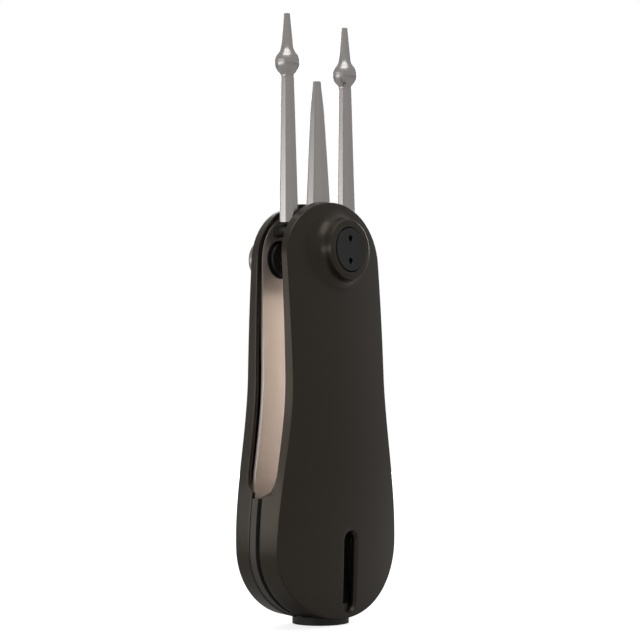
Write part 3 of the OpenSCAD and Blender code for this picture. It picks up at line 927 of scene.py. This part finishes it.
def champagne():
    return material("champagne metal", colours().liner, (0.97, 0.92, 0.87), 0.36, fineness=3200.0,
                    stretch=(1, 1, 0.04), wear=0.25, tone=0.03)


def nickel():
    return material("satin nickel", (0.42, 0.39, 0.36), (0.7, 0.68, 0.65), 0.33, tone=0.06)


def blacked():
    return material("blackened steel", colours().black, (0.12, 0.11, 0.1), 0.36, metal=0.0, fineness=6500.0,
                    wear=0.4, tone=0.2)


def bronze():
    return material("bearing bronze", colours().bronze, (0.75, 0.55, 0.28), 0.34)


def core_metal():
    return material("grey core", (0.075, 0.068, 0.057), (0.2, 0.18, 0.16), 0.45, metal=0.3, fineness=5200.0,
                    bump=0.3)


def moulded():
    return material("moulded black plastic", (0.02, 0.018, 0.0165), (0.07, 0.065, 0.06), 0.42, metal=0.0,
                    fineness=3800.0, bump=0.3, tone=0.12)


def dress(node, finish):
    """Gives a frame node its finish."""
    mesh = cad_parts[node].data
    mesh.materials.clear()
    mesh.materials.append(finish)


# Stage


def area_light(name, place, width, height, power):
    """Soft white rectangular light that looks at the middle of the tool."""
    data = bpy.data.lights.new(name, "AREA")
    data.shape = "RECTANGLE"
    data.size, data.size_y, data.energy = width, height, power
    light = bpy.data.objects.new(name, data)
    light.location = place
    light.rotation_euler = (Vector(LIGHT_AIM) - Vector(place)).to_track_quat("-Z", "Y").to_euler()
    bpy.context.scene.collection.objects.link(light)


class DIVOT_OT_stage(Operator):
    """Sets up the pale floor, the soft light and the camera."""

    bl_idname = "divot_tool.stage"
    bl_label = "Stage"

    def execute(self, context):
        scene = context.scene
        angle = np.linspace(0, 2 * np.pi, 64, endpoint=False)
        radius = np.array([0.0, 0.2, 1.0, 6.0])[:, None]
        level = CAD_BOX[0][2] - 0.0001
        rings = np.dstack([radius * np.cos(angle), radius * np.sin(angle), np.full((4, 64), level)])
        points = rings.reshape(-1, 3)
        mesh = bpy.data.meshes.new("floor")
        mesh.from_pydata(points, [], grid_faces(4, 64, True))
        mesh.materials.append(floor_paint())
        floor = bpy.data.objects.new("floor", mesh)
        scene.collection.objects.link(floor)

        scene.world = studio_air(0.4)
        scene.view_settings.view_transform = "Standard"
        area_light("left softbox", (-0.70, 0.26, 0.04), 0.9, 0.36, 1.5)
        area_light("far softbox", (0.62, 0.42, 0.1), 0.6, 0.6, 4.2)
        area_light("top softbox", (-0.2, -0.1, 0.8), 0.6, 0.6, 1.5)

        data = bpy.data.cameras.new("camera")
        data.lens = 94.6
        data.sensor_width = 36
        data.shift_x, data.shift_y = 0.002, 0.1384
        data.clip_start, data.clip_end = 0.01, 50
        camera = bpy.data.objects.new("camera", data)
        azimuth, roll, away = math.radians(-49), math.radians(-0.5), 0.321
        camera.location = (math.sin(azimuth) * away, -math.cos(azimuth) * away, 0.040)
        turn = Euler((math.pi / 2, 0, azimuth)).to_matrix() @ Matrix.Rotation(roll, 3, "Z")
        camera.rotation_euler = turn.to_euler()
        scene.collection.objects.link(camera)
        scene.camera = camera
        return {"FINISHED"}


def studio_air(strength):
    """White surroundings that light the object more softly than they look."""
    world = bpy.data.worlds.new("studio")
    world.use_nodes = True
    tree = world.node_tree
    seen = tree.nodes.new("ShaderNodeLightPath")
    level = tree.nodes.new("ShaderNodeMapRange")
    level.inputs["To Min"].default_value = strength
    level.inputs["To Max"].default_value = 1.0
    tree.links.new(seen.outputs["Is Camera Ray"], level.inputs["Value"])
    tree.links.new(level.outputs["Result"], tree.nodes["Background"].inputs["Strength"])
    tree.nodes["Background"].inputs["Color"].default_value = (1, 1, 1, 1)
    return world


def floor_paint():
    """Plain pale floor with a faint glow, so that it runs into the white surroundings."""
    made = bpy.data.materials.new("floor paint")
    made.use_nodes = True
    tree = made.node_tree
    shader = tree.nodes["Principled BSDF"]
    shader.inputs["Base Color"].default_value = (0.55, 0.55, 0.55, 1)
    shader.inputs["Roughness"].default_value = 0.9
    shader.inputs["Emission Color"].default_value = (1, 1, 1, 1)
    seen = tree.nodes.new("ShaderNodeLightPath")
    glow = tree.nodes.new("ShaderNodeMapRange")
    glow.inputs["To Min"].default_value = 0.0
    glow.inputs["To Max"].default_value = 0.8
    tree.links.new(seen.outputs["Is Camera Ray"], glow.inputs["Value"])
    tree.links.new(glow.outputs["Result"], shader.inputs["Emission Strength"])
    return made


OPERATORS = (
    DIVOT_OT_back_shell,
    DIVOT_OT_front_shell,
    DIVOT_OT_prongs,
    DIVOT_OT_pivot,
    DIVOT_OT_lock,
    DIVOT_OT_springs,
    DIVOT_OT_marker,
    DIVOT_OT_inside,
    DIVOT_OT_stage,
)


class DIVOT_PT_panel(Panel):
    """Lists the tool's sizes, colours and pieces."""

    bl_label = "Divot Tool"
    bl_idname = "DIVOT_PT_panel"
    bl_space_type = "VIEW_3D"
    bl_region_type = "UI"
    bl_category = "Divot Tool"

    def draw(self, context):
        for group in (context.scene.divot_tool_sizes, context.scene.divot_tool_colours):
            box = self.layout.box()
            for name in group.bl_rna.properties.keys():
                if name not in ("rna_type", "name"):
                    box.prop(group, name)
        for operator in OPERATORS:
            self.layout.operator(operator.bl_idname)


CLASSES = (DivotToolSizes, DivotToolColours, *OPERATORS, DIVOT_PT_panel)


def register():
    for cls in CLASSES:
        bpy.utils.register_class(cls)
    bpy.types.Scene.divot_tool_sizes = PointerProperty(type=DivotToolSizes)
    bpy.types.Scene.divot_tool_colours = PointerProperty(type=DivotToolColours)


def unregister():
    del bpy.types.Scene.divot_tool_colours
    del bpy.types.Scene.divot_tool_sizes
    for cls in reversed(CLASSES):
        bpy.utils.unregister_class(cls)


def main():
    register()
    bpy.ops.divot_tool.back_shell()
    bpy.ops.divot_tool.front_shell()
    bpy.ops.divot_tool.prongs()
    bpy.ops.divot_tool.pivot()
    bpy.ops.divot_tool.lock()
    bpy.ops.divot_tool.springs()
    bpy.ops.divot_tool.marker()
    bpy.ops.divot_tool.inside()
    bpy.ops.divot_tool.stage()


if __name__ == "__main__":
    main()
